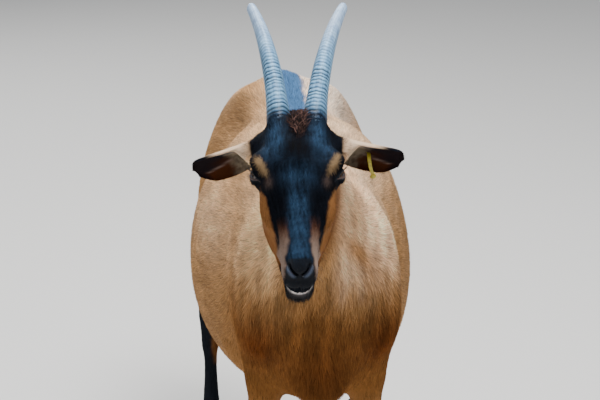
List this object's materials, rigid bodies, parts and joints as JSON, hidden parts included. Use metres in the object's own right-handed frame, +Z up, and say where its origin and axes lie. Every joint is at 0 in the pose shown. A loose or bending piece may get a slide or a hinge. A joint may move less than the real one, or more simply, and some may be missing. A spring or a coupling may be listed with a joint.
{
  "type": "goat",
  "caption": "Life-size standing horned dairy goat with a short tan and black coat, swept-back ringed horns, drooping ears and a small loop ear tag.",
  "frame": {"origin": "centre of the bounding box in x and y, on the floor under the hooves", "axes": "+Z up; the goat faces -Y, its left side is +X"},
  "size_m": [0.3708, 1.1186, 1.0035],
  "materials": {
    "coat_tan": "short tan coat",
    "coat_dark": "short black coat",
    "skin_pink": "bare soft skin",
    "horn": "ringed grey horn",
    "hoof": "dark hoof horn",
    "eye": "wet amber eye",
    "tag_yellow": "moulded yellow strip"
  },
  "bodies": {
    "root": {"claw_front_left_inner": "hoof", "claw_front_left_outer": "hoof", "claw_front_right_inner": "hoof", "claw_front_right_outer": "hoof", "claw_hind_left_inner": "hoof", "claw_hind_left_outer": "hoof", "claw_hind_right_inner": "hoof", "claw_hind_right_outer": "hoof", "dewclaw_front_left_inner": "hoof", "dewclaw_front_left_outer": "hoof", "dewclaw_front_right_inner": "hoof", "dewclaw_front_right_outer": "hoof", "dewclaw_hind_left_inner": "hoof", "dewclaw_hind_left_outer": "hoof", "dewclaw_hind_right_inner": "hoof", "dewclaw_hind_right_outer": "hoof", "ear_left": "coat_tan", "ear_right": "coat_tan", "ear_tag": "tag_yellow", "eye_left": "eye", "eye_right": "eye", "foreleg_lower_left": "coat_dark", "foreleg_lower_right": "coat_dark", "foreleg_upper_left": "coat_tan", "foreleg_upper_right": "coat_tan", "head": "coat_dark", "hind_leg_lower_left": "coat_dark", "hind_leg_lower_right": "coat_dark", "hind_leg_upper_left": "coat_tan", "hind_leg_upper_right": "coat_tan", "horn_left": "horn", "horn_right": "horn", "lower_jaw": "coat_dark", "neck": "coat_tan", "tail": "coat_dark", "trunk": "coat_tan", "udder": "skin_pink"}
  },
  "joints": []
}
